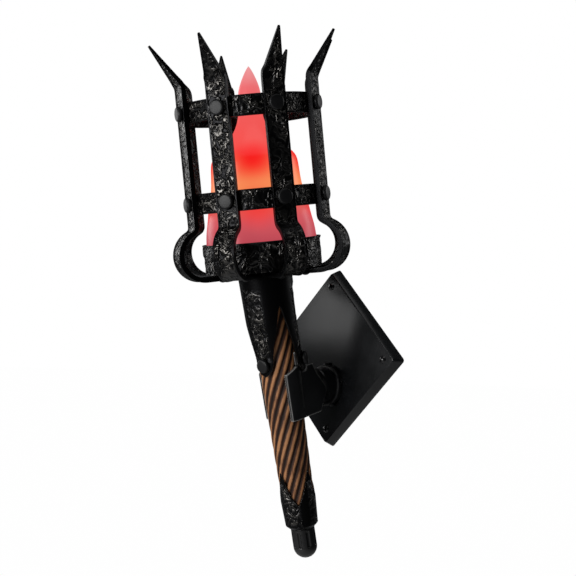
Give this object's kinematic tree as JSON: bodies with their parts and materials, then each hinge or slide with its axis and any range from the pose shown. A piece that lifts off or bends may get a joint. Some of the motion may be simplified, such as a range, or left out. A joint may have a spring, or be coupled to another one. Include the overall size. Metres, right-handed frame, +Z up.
{
  "type": "torch sconce",
  "caption": "Wall light as a torch: glass flame in a riveted iron strap cage with spear tips, fluted wooden shaft, saddle arm and square plate set on its corner.",
  "frame": {"origin": "centre of the mounting bracket's back face, on the wall plane, midway between the two box screw holes", "axes": "+Z up, -Y out of the wall into the room, +X to the right as seen from the room"},
  "size_m": [0.1862, 0.2406, 0.5279],
  "materials": {
    "hammered_iron": "hammered, blackened, satin",
    "smooth_iron": "smooth, blackened, satin",
    "black_paint": "satin black",
    "stained_wood": "oiled, with dark stain in the flutes",
    "flame_glass": "frosted red and orange glass",
    "zinc_steel": "zinc plated",
    "brass_parts": "plain",
    "green_screw": "green lacquer",
    "porcelain": "glazed white",
    "gasket_rubber": "matt",
    "bulb_glass": "frosted",
    "lead_insulation": "black PVC",
    "cap_plastic": "orange"
  },
  "bodies": {
    "sconce": {"mounting_bracket": "zinc_steel", "ground_screw": "green_screw", "wall_plate": "black_paint", "plate_screws": "black_paint", "arm_collar": "smooth_iron", "collar_screws": "smooth_iron", "bracket_arm": "smooth_iron", "arm_lock_ring": "zinc_steel", "shaft": "stained_wood", "neck_socket": "hammered_iron", "neck_rivets": "smooth_iron", "foot_ferrule": "hammered_iron", "foot_rivets": "smooth_iron", "finial": "black_paint", "cup": "hammered_iron", "cage_strap_1": "hammered_iron", "cage_strap_2": "hammered_iron", "cage_strap_3": "hammered_iron", "cage_strap_4": "hammered_iron", "cage_strap_5": "hammered_iron", "cage_strap_6": "hammered_iron", "cage_strap_7": "hammered_iron", "cage_strap_8": "hammered_iron", "base_rivets": "smooth_iron", "lower_hoop": "hammered_iron", "upper_hoop": "hammered_iron", "lower_rivets": "smooth_iron", "upper_rivets": "smooth_iron", "shade_gasket": "gasket_rubber", "lamp_holder": "porcelain", "nipple": "brass_parts", "lock_nut": "zinc_steel", "lamp_leads": "lead_insulation", "splice_caps": "cap_plastic"},
    "shade": {"glass_shade": "flame_glass"},
    "bulb": {"bulb_glass": "bulb_glass", "bulb_cap": "brass_parts"},
    "screw_left": {"shade_screw_1": "black_paint"},
    "screw_right": {"shade_screw_2": "black_paint"},
    "screw_back": {"shade_screw_3": "black_paint"}
  },
  "joints": [
    {"name": "shade_lift", "type": "slide", "parent": "sconce", "child": "shade", "axis": [0, -0.1874, 0.9823], "range_m": [0, 0.23]},
    {"name": "bulb_turn", "type": "hinge", "parent": "sconce", "child": "bulb", "pos_m": [0, -0.11767, 0.12342], "axis": [0, -0.1874, 0.9823], "continuous": true},
    {"name": "screw_left_turn", "type": "hinge", "parent": "sconce", "child": "screw_left", "pos_m": [-0.04045, -0.15422, 0.09915], "axis": [-0.7071, -0.6946, -0.1325], "continuous": true},
    {"name": "screw_right_turn", "type": "hinge", "parent": "sconce", "child": "screw_right", "pos_m": [0.05525, -0.12903, 0.10395], "axis": [0.9659, -0.2542, -0.0485], "continuous": true},
    {"name": "screw_back_turn", "type": "hinge", "parent": "sconce", "child": "screw_back", "pos_m": [-0.0148, -0.06022, 0.11708], "axis": [-0.2588, 0.9488, 0.181], "continuous": true}
  ]
}
